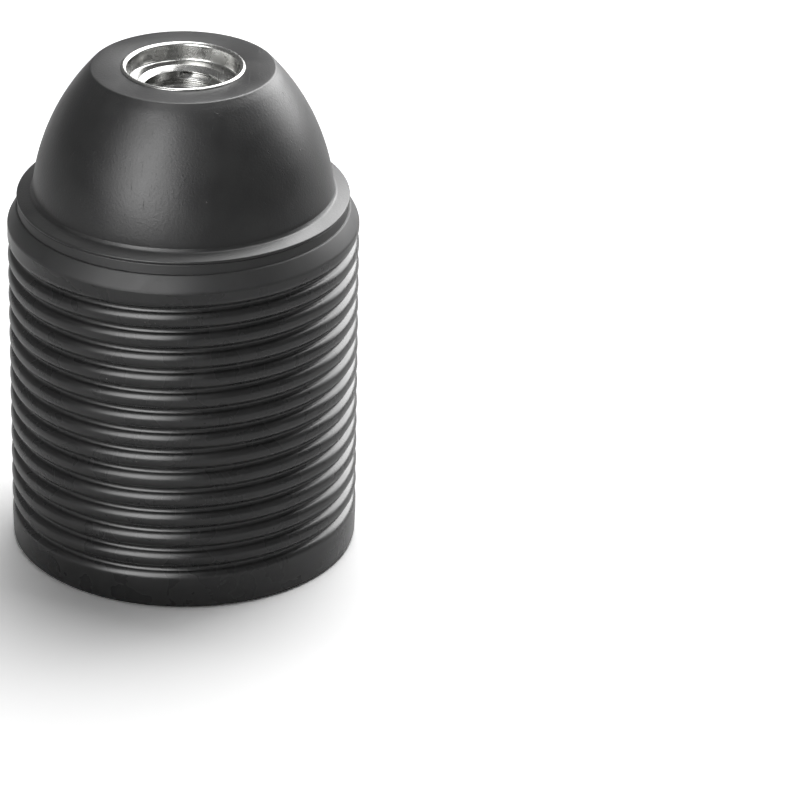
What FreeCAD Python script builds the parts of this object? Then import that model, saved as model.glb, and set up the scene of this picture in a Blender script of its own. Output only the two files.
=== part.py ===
"""Lamp holder for Edison screw lamps with a threaded barrel and a metal cable entry.

It stands on the rim of its mouth, on z = 0, with +Z towards the cable entry. Millimetres.
"""
import FreeCAD, Part
import math
import os

from FreeCAD import Vector

# Outside of the barrel
crest_radius = 20.0
mouth_band_radius = 19.9
mouth_band_height = 3.0
mouth_edge_round = 0.6
barrel_height = 42.6
collar_radius = 18.8
collar_height = 1.2
shoulder_top_radius = 19.0
shoulder_rise = 1.9
edge_chamfer = 0.15

# Ring thread on the outside of the barrel, for shade rings
ring_pitch = 2.5
ring_groove_width = 1.25
ring_groove_root = 0.45
ring_groove_depth = 0.7
ring_top_height = 37.85
ring_top_angle = -22.0
ring_turns = 13.5
ring_fade_angle = 65.0

# Inside of the barrel
mouth_bore_radius = 18.0
well_depth = 25.0
web_thickness = 2.2
closure_bore_radius = 16.75
rib_count = 8
rib_thickness = 0.9
rib_set_back = 0.3
rib_first_angle = 22.5

# Lamp sleeve, bored to the ridges of the lamp thread, with a relief above it for the contacts
sleeve_rim_depth = 9.0
sleeve_outer_radius = 14.7
sleeve_minor_radius = 12.25
sleeve_thread_end = 19.0
sleeve_relief_radius = 13.5
sleeve_lip_width = 0.4
sleeve_lip_groove_width = 0.35
sleeve_lip_groove_depth = 0.3
sleeve_lead_in = 0.9

# Contact carrier
carrier_spigot_clearance = 0.25
carrier_flange_radius = 16.2
carrier_flange_thickness = 3.0
carrier_pocket_depth = 1.2
carrier_bar_width = 6.4
carrier_spigot_wall = 1.2
carrier_wall_radius = 14.2
carrier_wall_thickness = 1.3
carrier_wall_height = 7.8
barrier_thickness = 1.8
barrier_height = 6.8

# Keys that stop the carrier from turning in the cap
key_width = 2.4
key_depth = 1.1
key_clearance = 0.3

# Cap with its dome
cap_spigot_radius = 16.1
cap_spigot_bore_radius = 14.5
cap_seat_clearance = 0.1
flange_radius = 18.9
flange_edge_height = 0.35
flange_top_radius = 17.35
flange_slope_rise = 0.75
dome_base_radius = 17.1
dome_base_rise = 1.1
dome_bulge_radius = 25.4
dome_top_radius = 10.85
dome_top_rise = 15.2
dome_wall = 1.9
flat_radius = 9.9
flat_rise = 15.7
roof_thickness = 2.8

# Metal entry bush, with a tapped bore for a threaded tube
bush_radius = 6.9
bush_hole_clearance = 0.05
bush_well_radius = 6.35
bush_well_depth = 1.9
bush_rim_radius = 7.15
bush_rim_height = 0.25
bush_bore_radius = 4.46
bush_bore_chamfer = 0.6
bush_hex_width = 17.0
bush_hex_thickness = 3.0
bush_hex_sink = 1.0
bush_neck_radius = 7.4
bush_neck_length = 7.0
hex_clearance = 0.05

# Set screw in the neck of the bush
set_screw_radius = 1.45
set_screw_hole_clearance = 0.05
set_screw_length = 4.0
set_screw_point_gap = 0.5
set_screw_point_length = 0.5
set_screw_point_radius = 0.9
set_screw_height = 3.4
set_screw_slot_width = 0.5
set_screw_slot_depth = 0.8

# Terminals, one on each side of the barrier
terminal_x = 6.4
terminal_inner_x = 3.4
terminal_plate_x = 10.2
terminal_lug_x = 12.2
terminal_lug_half_width = 3.2
terminal_plate_thickness = 1.2
terminal_plate_front_y = -5.2
terminal_plate_back_y = 7.2
clamp_screw_y = -1.6
clamp_screw_radius = 1.5
clamp_screw_clearance = 0.05
clamp_screw_length = 5.7
clamp_head_radius = 2.8
clamp_head_height = 1.9
clamp_slot_width = 0.8
clamp_slot_depth = 1.0
clamp_screw_well_clearance = 0.4
clamp_screw_well_spare = 0.2
clamp_washer_width = 6.0
clamp_washer_thickness = 0.9
clamp_washer_clearance = 0.15
clamp_washer_chamfer = 0.8
rivet_y = 5.2
rivet_radius = 1.1
rivet_hole_clearance = 0.08
rivet_head_radius = 1.9
rivet_head_height = 0.6

# Contact springs, each a bent strip held in the lug of its terminal
strip_thickness = 0.45
strip_leg_x = 11.325
strip_slot_clearance = 0.175
strip_bend_radius = 0.6
centre_strip_width = 5.0
centre_knee_x = 5.0
centre_knee_height = 22.8
centre_touch_height = 21.9
centre_tip_reach = 2.4
centre_curl_reach = 1.4
centre_curl_rise = 0.6
centre_sweep = 1.0
shell_strip_width = 3.6
shell_bump_x = 10.1
shell_bump_height = 21.4
shell_tip_x = 10.75
shell_tip_height = 19.8
shell_sweep = 0.75

# Heights that follow from the sizes above
carrier_seat = well_depth + web_thickness
carrier_deck = carrier_seat + carrier_flange_thickness
terminal_top = carrier_deck + terminal_plate_thickness
clamp_screw_bottom = terminal_top + clamp_washer_thickness - clamp_screw_length
flat_height = barrel_height + flat_rise
roof_underside = flat_height - roof_thickness
shoulder_top = barrel_height - collar_height
shoulder_bottom = shoulder_top - shoulder_rise
strip_pivot_height = terminal_top - terminal_plate_thickness / 2
bush_ledge = flat_height - bush_well_depth
bush_hex_top = roof_underside + bush_hex_sink
bush_hex_bottom = bush_hex_top - bush_hex_thickness
bush_bottom = bush_hex_bottom - bush_neck_length

Z_AXIS = Vector(0, 0, 1)
ORIGIN = Vector(0, 0, 0)


def section(points):
    """A closed outline in the half plane y = 0 from (r, z) points; a triple holds an arc's middle and end."""
    edges = []
    last = Vector(points[0][0], 0, points[0][1])
    for point in points[1:] + [points[0]]:
        if len(point) == 4:
            middle = Vector(point[0], 0, point[1])
            end = Vector(point[2], 0, point[3])
            edges.append(Part.Arc(last, middle, end).toShape())
        else:
            end = Vector(point[0], 0, point[1])
            edges.append(Part.LineSegment(last, end).toShape())
        last = end
    return Part.Face(Part.Wire(edges))


def turned(points):
    """The solid that an outline makes when it is turned about the Z axis."""
    return section(points).revolve(ORIGIN, Z_AXIS, 360)


def block(x_low, x_high, y_low, y_high, z_low, z_high):
    """A rectangular block between the given planes."""
    return Part.makeBox(x_high - x_low, y_high - y_low, z_high - z_low, Vector(x_low, y_low, z_low))


def cylinder(radius, z_low, z_high, x=0.0, y=0.0):
    """An upright round bar."""
    return Part.makeCylinder(radius, z_high - z_low, Vector(x, y, z_low))


def hexagon(width, z_low, z_high):
    """An upright hexagonal bar, its width measured across the flats."""
    corner = width / 2 / math.cos(math.pi / 6)
    angles = [math.pi / 3 * k for k in range(7)]
    ring = Part.makePolygon([Vector(corner * math.cos(a), corner * math.sin(a), z_low) for a in angles])
    return Part.Face(ring).extrude(Vector(0, 0, z_high - z_low))


def helical_groove(radius, pitch, rise, flare, outline):
    """A groove swept up a right-hand helix that starts at (radius, 0, 0); flare opens it outwards."""
    spine = Part.makeHelix(pitch, rise, radius, flare) if flare else Part.makeHelix(pitch, rise, radius)
    points = [Vector(radius + r, 0, z) for r, z in outline]
    sweep = Part.BRepOffsetAPI.MakePipeShell(Part.Wire(spine))
    sweep.setFrenetMode(True)
    sweep.add(Part.makePolygon(points + [points[0]]), False, False)
    sweep.build()
    sweep.makeSolid()
    return sweep.shape()


def placed(shape, angle, height):
    """The shape turned about the Z axis and lifted."""
    moved = shape.copy()
    moved.rotate(ORIGIN, Z_AXIS, angle)
    moved.translate(Vector(0, 0, height))
    return moved


def strip(path, width, bend_radius, side):
    """A bent strip with round ends: path holds (x, z) corners of its middle line, side mirrors it in x."""
    corners = [Vector(side * x, -width / 2, z) for x, z in path]
    edges = []
    start = corners[0]
    for before, corner, after in zip(corners, corners[1:], corners[2:]):
        back = (before - corner).normalize()
        onward = (after - corner).normalize()
        half = back.getAngle(onward) / 2
        trim = bend_radius / math.tan(half)
        first = corner + back * trim
        last = corner + onward * trim
        middle_line = (back + onward).normalize()
        middle = corner + middle_line * (bend_radius / math.sin(half) - bend_radius)
        edges.append(Part.LineSegment(start, first).toShape())
        edges.append(Part.Arc(first, middle, last).toShape())
        start = last
    edges.append(Part.LineSegment(start, corners[-1]).toShape())
    line = Part.Wire(edges)
    outline = line.makeOffset2D(strip_thickness / 2, fill=False, openResult=False, intersection=False)
    return Part.Face(outline).extrude(Vector(0, width, 0))


def ring_thread(shape):
    """Cuts the ring thread's groove, which fades out at its upper end."""
    over = ring_groove_width * 0.5
    spread = (ring_groove_width - ring_groove_root) / 2 / ring_groove_depth
    mouth = ring_groove_width / 2 + spread * over
    root = ring_groove_root / 2
    outline = [(over, -mouth), (-ring_groove_depth, -root), (-ring_groove_depth, root), (over, mouth)]
    climb = ring_turns * ring_pitch
    groove = helical_groove(crest_radius, ring_pitch, climb, 0.0, outline)
    foot = ring_top_height - climb
    shape = shape.cut(placed(groove, ring_top_angle - 360.0 * ring_turns, foot))
    fade_climb = ring_pitch * ring_fade_angle / 360.0
    flare = math.degrees(math.atan(ring_groove_depth / fade_climb))
    fade = helical_groove(crest_radius, ring_pitch, fade_climb, flare, outline)
    return shape.cut(placed(fade, ring_top_angle, ring_top_height))


def barrel_ribs():
    """The thin radial ribs between the lamp sleeve and the outer wall."""
    bottom = sleeve_rim_depth + rib_set_back
    rib = block(
        sleeve_outer_radius - sleeve_lip_width,
        mouth_bore_radius + edge_chamfer,
        -rib_thickness / 2,
        rib_thickness / 2,
        bottom,
        well_depth + edge_chamfer,
    )
    return [placed(rib, rib_first_angle + 360.0 / rib_count * k, 0.0) for k in range(rib_count)]


def barrel():
    """One moulding: threaded outer wall, web and ribs, and the sleeve that takes the lamp."""
    lip_inner = sleeve_outer_radius - sleeve_lip_width
    groove_inner = lip_inner - sleeve_lip_groove_width
    lead_radius = sleeve_minor_radius + sleeve_lead_in
    corner = mouth_edge_round * (1 - math.sqrt(0.5))
    body = turned([
        (mouth_bore_radius + edge_chamfer, 0.0),
        (mouth_band_radius - mouth_edge_round, 0.0),
        (mouth_band_radius - corner, corner, mouth_band_radius, mouth_edge_round),
        (crest_radius, mouth_band_height),
        (crest_radius, shoulder_bottom),
        (shoulder_top_radius, shoulder_top),
        (collar_radius, shoulder_top),
        (collar_radius, barrel_height - edge_chamfer),
        (collar_radius - edge_chamfer, barrel_height),
        (closure_bore_radius + edge_chamfer, barrel_height),
        (closure_bore_radius, barrel_height - edge_chamfer),
        (closure_bore_radius, carrier_seat),
        (sleeve_relief_radius, carrier_seat),
        (sleeve_relief_radius, sleeve_thread_end + sleeve_relief_radius - sleeve_minor_radius),
        (sleeve_minor_radius, sleeve_thread_end),
        (sleeve_minor_radius, sleeve_rim_depth + sleeve_lead_in),
        (lead_radius, sleeve_rim_depth),
        (groove_inner, sleeve_rim_depth),
        (groove_inner, sleeve_rim_depth + sleeve_lip_groove_depth),
        (lip_inner, sleeve_rim_depth + sleeve_lip_groove_depth),
        (lip_inner, sleeve_rim_depth),
        (sleeve_outer_radius, sleeve_rim_depth),
        (sleeve_outer_radius, well_depth),
        (mouth_bore_radius, well_depth),
        (mouth_bore_radius, edge_chamfer),
    ])
    body = body.fuse(barrel_ribs()).removeSplitter()
    return ring_thread(body)


def dome_arc(wall):
    """Centre and radius of the dome's arc, moved inwards by a wall."""
    low = Vector(dome_base_radius, 0, barrel_height + dome_base_rise)
    high = Vector(dome_top_radius, 0, barrel_height + dome_top_rise)
    chord = high - low
    middle = (low + high) * 0.5
    inward = Vector(-chord.z, 0, chord.x).normalize()
    centre = middle + inward * math.sqrt(dome_bulge_radius ** 2 - (chord.Length / 2) ** 2)
    return centre.x, centre.z, dome_bulge_radius - wall


def cap():
    """One moulding: the dome, its flange and the spigot that screws into the barrel."""
    centre_r, centre_z, outer = dome_arc(0.0)
    inner = dome_arc(dome_wall)[2]

    def arc_radius(arc, height):
        return centre_r + math.sqrt(arc ** 2 - (height - centre_z) ** 2)

    base = barrel_height + dome_base_rise
    top = barrel_height + dome_top_rise
    middle = (base + top) / 2
    bore_top = centre_z + math.sqrt(inner ** 2 - (cap_spigot_bore_radius - centre_r) ** 2)
    roof_middle = (bore_top + roof_underside) / 2
    edge_drop = (flat_height - top) * 0.3
    hole = bush_radius + bush_hole_clearance
    shell = turned([
        (cap_spigot_bore_radius, carrier_deck + cap_seat_clearance),
        (cap_spigot_radius, carrier_deck + cap_seat_clearance),
        (cap_spigot_radius, barrel_height),
        (flange_radius - edge_chamfer, barrel_height),
        (flange_radius, barrel_height + edge_chamfer),
        (flange_radius, barrel_height + flange_edge_height),
        (flange_top_radius, barrel_height + flange_slope_rise),
        (dome_base_radius, base),
        (arc_radius(outer, middle), middle, dome_top_radius, top),
        ((dome_top_radius + flat_radius) / 2, flat_height - edge_drop, flat_radius, flat_height),
        (hole, flat_height),
        (hole, roof_underside),
        (arc_radius(inner, roof_underside), roof_underside),
        (arc_radius(inner, roof_middle), roof_middle, cap_spigot_bore_radius, bore_top),
    ])
    shell = shell.cut(hexagon(bush_hex_width + 2 * hex_clearance, roof_underside - dome_wall, bush_hex_top))
    key = block(
        -key_width / 2,
        key_width / 2,
        cap_spigot_bore_radius - key_depth,
        cap_spigot_bore_radius + edge_chamfer,
        carrier_deck + cap_seat_clearance,
        barrel_height,
    )
    return shell.fuse([key, placed(key, 180.0, 0.0)]).removeSplitter()


def entry_bush():
    """The tapped metal bush: rolled rim on the dome, hexagon under its roof, and a neck below."""
    rim_crown = flat_height + bush_rim_height
    rim_middle = (bush_well_radius + bush_rim_radius) / 2
    body = turned([
        (bush_bore_radius, bush_bottom),
        (bush_neck_radius, bush_bottom),
        (bush_neck_radius, bush_hex_bottom + edge_chamfer),
        (bush_radius, bush_hex_bottom + edge_chamfer),
        (bush_radius, flat_height),
        (bush_rim_radius, flat_height),
        (rim_middle, rim_crown, bush_well_radius, flat_height),
        (bush_well_radius, bush_ledge),
        (bush_bore_radius + bush_bore_chamfer, bush_ledge),
        (bush_bore_radius, bush_ledge - bush_bore_chamfer),
    ])
    plate = hexagon(bush_hex_width, bush_hex_bottom, bush_hex_top)
    plate = plate.cut(cylinder(bush_bore_radius + bush_bore_chamfer, bush_hex_bottom, bush_hex_top))
    body = body.fuse(plate).removeSplitter()
    hole = Part.makeCylinder(
        set_screw_radius + set_screw_hole_clearance,
        bush_neck_radius,
        Vector(0, 0, bush_bottom + set_screw_height),
        Vector(0, -1, 0),
    )
    return body.cut(hole)


def bush_set_screw():
    """The small set screw in the neck, shown backed off from the bore."""
    start = bush_bore_radius + set_screw_point_gap
    screw = turned([
        (0.0, 0.0),
        (set_screw_point_radius, 0.0),
        (set_screw_radius, set_screw_point_length),
        (set_screw_radius, set_screw_length),
        (0.0, set_screw_length),
    ])
    slot = block(
        -set_screw_radius,
        set_screw_radius,
        -set_screw_slot_width / 2,
        set_screw_slot_width / 2,
        set_screw_length - set_screw_slot_depth,
        set_screw_length,
    )
    screw = screw.cut(slot)
    screw.rotate(ORIGIN, Vector(1, 0, 0), 90)
    screw.translate(Vector(0, -start, bush_bottom + set_screw_height))
    return screw


def strip_slot(side, width, sweep):
    """The slot in the carrier's floor in which a contact strip flexes; sweep is towards +x."""
    half = strip_thickness / 2 + strip_slot_clearance
    centre = side * strip_leg_x
    return block(
        centre - half,
        centre + half + sweep,
        -width / 2 - strip_slot_clearance,
        width / 2 + strip_slot_clearance,
        well_depth,
        carrier_deck,
    )


def contact_carrier():
    """The insert that carries both poles: floor, flange, guard wall and the barrier between the poles."""
    spigot_radius = sleeve_relief_radius - carrier_spigot_clearance
    body = turned([
        (0.0, well_depth),
        (spigot_radius - edge_chamfer, well_depth),
        (spigot_radius, well_depth + edge_chamfer),
        (spigot_radius, carrier_seat),
        (carrier_flange_radius, carrier_seat),
        (carrier_flange_radius, carrier_deck),
        (carrier_wall_radius, carrier_deck),
        (carrier_wall_radius, carrier_deck + carrier_wall_height),
        (carrier_wall_radius - carrier_wall_thickness, carrier_deck + carrier_wall_height),
        (carrier_wall_radius - carrier_wall_thickness, carrier_deck),
        (0.0, carrier_deck),
    ])
    barrier_reach = carrier_wall_radius - carrier_wall_thickness / 2
    barrier = block(
        -barrier_thickness / 2,
        barrier_thickness / 2,
        -barrier_reach,
        barrier_reach,
        carrier_deck,
        carrier_deck + barrier_height,
    )
    body = body.fuse(barrier)
    pocket = cylinder(spigot_radius - carrier_spigot_wall, well_depth, well_depth + carrier_pocket_depth)
    bar = block(
        -spigot_radius,
        spigot_radius,
        -carrier_bar_width / 2,
        carrier_bar_width / 2,
        well_depth,
        well_depth + carrier_pocket_depth,
    )
    cuts = [pocket.cut(bar)]
    key_gap = key_width / 2 + key_clearance
    groove = block(
        -key_gap,
        key_gap,
        cap_spigot_bore_radius - key_depth - key_clearance,
        carrier_wall_radius + key_clearance,
        carrier_deck,
        carrier_deck + carrier_wall_height,
    )
    cuts += [groove, placed(groove, 180.0, 0.0)]
    cuts.append(strip_slot(-1, centre_strip_width, centre_sweep))
    cuts.append(strip_slot(1, shell_strip_width, shell_sweep))
    well_radius = clamp_screw_radius + clamp_screw_well_clearance
    for side in (-1, 1):
        x = side * terminal_x
        cuts.append(cylinder(well_radius, clamp_screw_bottom - clamp_screw_well_spare, carrier_deck, x, clamp_screw_y))
        cuts.append(cylinder(rivet_radius + rivet_hole_clearance, well_depth, carrier_deck, x, rivet_y))
    return body.cut(cuts)


def terminal_plate(side, strip_width):
    """A brass terminal: tapped for the clamp screw, riveted down, with a lug that holds the strip's end."""
    plate = block(
        terminal_inner_x,
        terminal_plate_x,
        terminal_plate_front_y,
        terminal_plate_back_y,
        carrier_deck,
        terminal_top,
    )
    lug = block(
        terminal_plate_x,
        terminal_lug_x,
        -terminal_lug_half_width,
        terminal_lug_half_width,
        carrier_deck,
        terminal_top,
    )
    half = strip_thickness / 2 + strip_slot_clearance
    slot = block(
        strip_leg_x - half,
        strip_leg_x + half,
        -strip_width / 2 - strip_slot_clearance,
        strip_width / 2 + strip_slot_clearance,
        carrier_deck,
        terminal_top,
    )
    tapping = cylinder(clamp_screw_radius + clamp_screw_clearance, carrier_deck, terminal_top, terminal_x, clamp_screw_y)
    rivet_hole = cylinder(rivet_radius + rivet_hole_clearance, carrier_deck, terminal_top, terminal_x, rivet_y)
    plate = plate.fuse(lug).removeSplitter().cut([slot, tapping, rivet_hole])
    return plate if side > 0 else plate.mirror(ORIGIN, Vector(1, 0, 0))


def rivet(side):
    """The rivet through terminal and floor, with a formed head at each end."""
    floor = well_depth + carrier_pocket_depth
    body = turned([
        (0.0, floor - rivet_head_height),
        (rivet_head_radius * 0.6, floor - rivet_head_height),
        (rivet_head_radius, floor),
        (rivet_radius, floor),
        (rivet_radius, terminal_top),
        (rivet_head_radius, terminal_top),
        (rivet_head_radius * 0.6, terminal_top + rivet_head_height),
        (0.0, terminal_top + rivet_head_height),
    ])
    body.translate(Vector(side * terminal_x, rivet_y, 0))
    return body


def clamp_washer(side):
    """The square washer that presses the wire onto the terminal."""
    half = clamp_washer_width / 2
    flat = half - clamp_washer_chamfer
    top = terminal_top + clamp_washer_thickness
    corners = [(half, flat), (flat, half), (-flat, half), (-half, flat), (-half, -flat), (-flat, -half), (flat, -half), (half, -flat)]
    ring = Part.makePolygon([Vector(x, y, terminal_top) for x, y in corners + corners[:1]])
    plate = Part.Face(ring).extrude(Vector(0, 0, clamp_washer_thickness))
    plate = plate.cut(cylinder(clamp_screw_radius + clamp_washer_clearance, terminal_top, top))
    plate.translate(Vector(side * terminal_x, clamp_screw_y, 0))
    return plate


def clamp_screw(side):
    """The slotted clamp screw."""
    seat = terminal_top + clamp_washer_thickness
    top = seat + clamp_head_height
    screw = turned([
        (0.0, clamp_screw_bottom),
        (clamp_screw_radius - edge_chamfer, clamp_screw_bottom),
        (clamp_screw_radius, clamp_screw_bottom + edge_chamfer),
        (clamp_screw_radius, seat),
        (clamp_head_radius, seat),
        (clamp_head_radius, top - edge_chamfer),
        (clamp_head_radius - edge_chamfer, top),
        (0.0, top),
    ])
    slot = block(-clamp_head_radius, clamp_head_radius, -clamp_slot_width / 2, clamp_slot_width / 2, top - clamp_slot_depth, top)
    screw = screw.cut(slot)
    screw.translate(Vector(side * terminal_x, clamp_screw_y, 0))
    return screw


def centre_contact():
    """The wide spring that rises from its slot to touch the lamp's centre contact."""
    path = [
        (strip_leg_x, strip_pivot_height),
        (strip_leg_x, well_depth - strip_bend_radius),
        (centre_knee_x, centre_knee_height),
        (0.0, centre_touch_height),
        (-centre_tip_reach, centre_touch_height),
        (-centre_tip_reach - centre_curl_reach, centre_touch_height + centre_curl_rise),
    ]
    return strip(path, centre_strip_width, strip_bend_radius, -1)


def shell_contact():
    """The narrow spring tongue that stands beside the lamp's threaded shell."""
    path = [
        (strip_leg_x, strip_pivot_height),
        (strip_leg_x, well_depth),
        (shell_bump_x, shell_bump_height),
        (shell_tip_x, shell_tip_height),
    ]
    return strip(path, shell_strip_width, strip_bend_radius, 1)


def solids():
    """Every piece under its own name."""
    return {
        "threaded_barrel": barrel(),
        "dome_cap": cap(),
        "entry_bush": entry_bush(),
        "bush_set_screw": bush_set_screw(),
        "contact_carrier": contact_carrier(),
        "centre_contact": centre_contact(),
        "shell_contact": shell_contact(),
        "terminal_plate_centre": terminal_plate(-1, centre_strip_width),
        "terminal_plate_shell": terminal_plate(1, shell_strip_width),
        "rivet_centre": rivet(-1),
        "rivet_shell": rivet(1),
        "clamp_washer_centre": clamp_washer(-1),
        "clamp_washer_shell": clamp_washer(1),
        "clamp_screw_centre": clamp_screw(-1),
        "clamp_screw_shell": clamp_screw(1),
    }


os.makedirs("parts", exist_ok=True)
for name, shape in solids().items():
    shape.exportStep("parts/" + name + ".step")
    print(name, shape.isValid(), len(shape.Solids), round(shape.Volume, 2))
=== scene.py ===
import math

import bmesh
import bpy
import numpy as np
from mathutils import Matrix, Vector


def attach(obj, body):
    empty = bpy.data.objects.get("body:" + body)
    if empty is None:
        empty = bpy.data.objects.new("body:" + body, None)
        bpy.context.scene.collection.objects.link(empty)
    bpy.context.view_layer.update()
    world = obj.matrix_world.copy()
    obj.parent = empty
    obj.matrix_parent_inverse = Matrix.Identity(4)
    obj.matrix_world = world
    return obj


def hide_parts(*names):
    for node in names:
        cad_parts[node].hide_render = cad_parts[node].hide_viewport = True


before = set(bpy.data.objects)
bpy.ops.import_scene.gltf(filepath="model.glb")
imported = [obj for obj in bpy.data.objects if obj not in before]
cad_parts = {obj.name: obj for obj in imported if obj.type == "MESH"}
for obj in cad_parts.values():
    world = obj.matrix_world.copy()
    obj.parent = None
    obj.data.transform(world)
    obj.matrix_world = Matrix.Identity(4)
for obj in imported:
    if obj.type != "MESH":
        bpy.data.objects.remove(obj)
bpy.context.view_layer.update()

# Threaded barrel: one moulding in black thermoplastic. Its outer wall carries the 40 x 2.5 ring thread, thin
# ribs tie it to the sleeve inside, and the sleeve has the round thread that takes the lamp. The bore above
# the web takes the cap's closing thread. Sizes are in millimetres and become metres when a piece is made.
mm = 0.001
turn_steps = 144
turn_step = 360.0 / turn_steps
turn_angles = np.arange(turn_steps) * turn_step


def rounded_line(corners, arc_steps=4):
    """A line through corners (a, b, radius); each radius above 0 becomes an arc that touches both runs."""
    points = []
    last = len(corners) - 1
    for k, (a, b, radius) in enumerate(corners):
        here = np.array([a, b])
        if radius == 0 or k in (0, last):
            points.append(here[None])
            continue
        back = np.array(corners[k - 1][:2]) - here
        onward = np.array(corners[k + 1][:2]) - here
        back /= np.linalg.norm(back)
        onward /= np.linalg.norm(onward)
        half = math.acos(np.clip(back @ onward, -1, 1)) / 2
        middle = (back + onward) / np.linalg.norm(back + onward)
        centre = here + middle * radius / math.sin(half)
        sweep = np.linspace(-1, 1, arc_steps) * (math.pi / 2 - half)
        side = np.array([-middle[1], middle[0]])
        side *= np.sign(side @ (onward - back))
        inward = np.outer(np.cos(sweep), middle)
        along = np.outer(np.sin(sweep), side)
        points.append(centre - radius * inward + radius * along)
    return np.concatenate(points)


def grid_quads(rows, columns, wrap):
    """Faces of a grid of points, rows by columns; wrap joins the last column to the first."""
    across = columns if wrap else columns - 1
    i, j = np.meshgrid(np.arange(rows - 1), np.arange(across), indexing="ij")
    after = (j + 1) % columns
    here, above = i * columns, (i + 1) * columns
    return np.stack([here + j, here + after, above + after, above + j], -1).reshape(-1, 4)


def round_points(radius, angle, height):
    """Points at (radius, angle in degrees, height): x = r cos a, y = r sin a, z = height."""
    turn = np.radians(angle)
    return np.stack(np.broadcast_arrays(radius * np.cos(turn), radius * np.sin(turn), height), -1)


def ring_stack(radii, heights, steps=turn_steps):
    """Rings above each other, each with a radius at every angle: point = (r(a) cos a, r(a) sin a, z)."""
    angles = np.arange(steps) * 360.0 / steps
    points = round_points(radii, angles[None, :], heights)
    return points.reshape(-1, 3), grid_quads(len(points), steps, True)


def turned_surface(line, steps=turn_steps):
    """A line of (r, z) points turned about the axis: point = (r cos a, r sin a, z)."""
    return ring_stack(line[:, None, 0] * np.ones((1, steps)), line[:, None, 1], steps)


def thread_surface(
        base, section, pitch, first, last, height, low, high, fade_in, fade_out, steps=turn_steps):
    """A thread's skin between two level circles, with the thread fading out at both ends.

    section holds (height, depth) across one pitch. A turn climbs by one pitch:
    z = height + pitch a / 360 + dz, r = base + depth * strength(a). A patch above and one below, each
    bounded by the helix and a level circle, fill the steps that the thread's two ends leave.
    """
    step = 360.0 / steps
    angle = np.arange(round((last - first) / step) + 1) * step + first
    strength = np.clip(np.minimum((angle - first) / fade_in, (last - angle) / fade_out), 0, 1)
    strength = strength * strength * (3 - 2 * strength)
    centre = height + pitch * (angle - first) / 360.0
    z = np.clip(centre[None, :] + section[:, None, 0], low, high)
    r = base + section[:, None, 1] * strength[None, :]
    skins = [(round_points(r, angle[None, :], z), len(angle))]
    upper = (z[-1, -steps - 1:], high, slice(-steps - 1, None), z[:, -1], 0)
    lower = (z[0, :steps + 1], low, slice(0, steps + 1), z[:, 0], -1)
    for edge, level, part, ends, corner in (upper, lower):
        share = np.clip((ends - edge[corner]) / (level - edge[corner]), 0, 1)
        share = np.unique(np.round(share, 9))
        fill = edge[None, :] + (level - edge[None, :]) * share[:, None]
        skins.append((round_points(base, angle[None, part], fill), steps + 1))
    return [(points.reshape(-1, 3), grid_quads(len(points), columns, False)) for points, columns in skins]


def thread_section(pitch, mouth, root, depth, mouth_edge, root_edge, arc_steps=3):
    """One pitch of a thread as (height, depth): flat, flank, root, flank, flat, with rounded corners."""
    return rounded_line([
        (-pitch / 2, 0, 0),
        (-mouth / 2, 0, mouth_edge),
        (-root / 2, depth, root_edge),
        (root / 2, depth, root_edge),
        (mouth / 2, 0, mouth_edge),
        (pitch / 2, 0, 0),
    ], arc_steps)


def welded_mesh(name, parts):
    """A mesh from millimetre surfaces: equal points merged, empty faces dropped, faces turned outwards."""
    weld, least_edge = 4e-7, 1e-7
    shift = np.cumsum([0] + [len(points) for points, _ in parts[:-1]])
    points = np.concatenate([points for points, _ in parts])
    faces = np.concatenate([faces + n for (_, faces), n in zip(parts, shift)])
    mesh = bpy.data.meshes.new(name)
    mesh.vertices.add(len(points))
    mesh.vertices.foreach_set("co", (points * mm).ravel())
    mesh.loops.add(faces.size)
    mesh.loops.foreach_set("vertex_index", faces.ravel())
    mesh.polygons.add(len(faces))
    mesh.polygons.foreach_set("loop_start", np.arange(0, faces.size, 4))
    mesh.update()
    work = bmesh.new()
    work.from_mesh(mesh)
    bmesh.ops.remove_doubles(work, verts=work.verts, dist=weld)
    bmesh.ops.dissolve_degenerate(work, edges=work.edges, dist=least_edge)
    bmesh.ops.recalc_face_normals(work, faces=work.faces)
    work.to_mesh(mesh)
    work.free()
    return mesh


def piece(name, mesh, material, body, stands_for, sharp=36.0):
    """A smooth-shaded piece on its body, in place of the CAD node that it stands for."""
    mesh.polygons.foreach_set("use_smooth", np.ones(len(mesh.polygons), bool))
    mesh.set_sharp_from_angle(angle=math.radians(sharp))
    made = bpy.data.objects.new(name, mesh)
    bpy.context.scene.collection.objects.link(made)
    mesh.materials.clear()
    mesh.materials.append(material)
    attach(made, body)
    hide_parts(stands_for)


def node(tree, kind, values=None, **settings):
    """A node of one kind with its settings; a value that is another node's output becomes a link."""
    made = tree.nodes.new("ShaderNode" + kind)
    for key, value in settings.items():
        setattr(made, key, value)
    for key, value in (values or {}).items():
        if isinstance(value, bpy.types.NodeSocket):
            tree.links.new(value, made.inputs[key])
        else:
            made.inputs[key].default_value = value
    return made


def sum_of(tree, first, factor, offset):
    """first * factor + offset, as a node's output."""
    return node(tree, "Math", {0: first, 1: factor, 2: offset}, operation="MULTIPLY_ADD").outputs[0]


def product(tree, first, second):
    """first * second, as a node's output."""
    return node(tree, "Math", {0: first, 1: second}, operation="MULTIPLY").outputs[0]


def stretched(tree, value, low, high):
    """A value whose range from low to high becomes 0 to 1."""
    return node(tree, "MapRange", {"Value": value, "From Min": low, "From Max": high}).outputs[0]


def tint(tree, factor, first, second):
    """A colour between two, by a factor (sockets 0, 6 and 7 of a Mix node for colours)."""
    return node(tree, "Mix", {0: factor, 6: first, 7: second}, data_type="RGBA").outputs[2]


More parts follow.
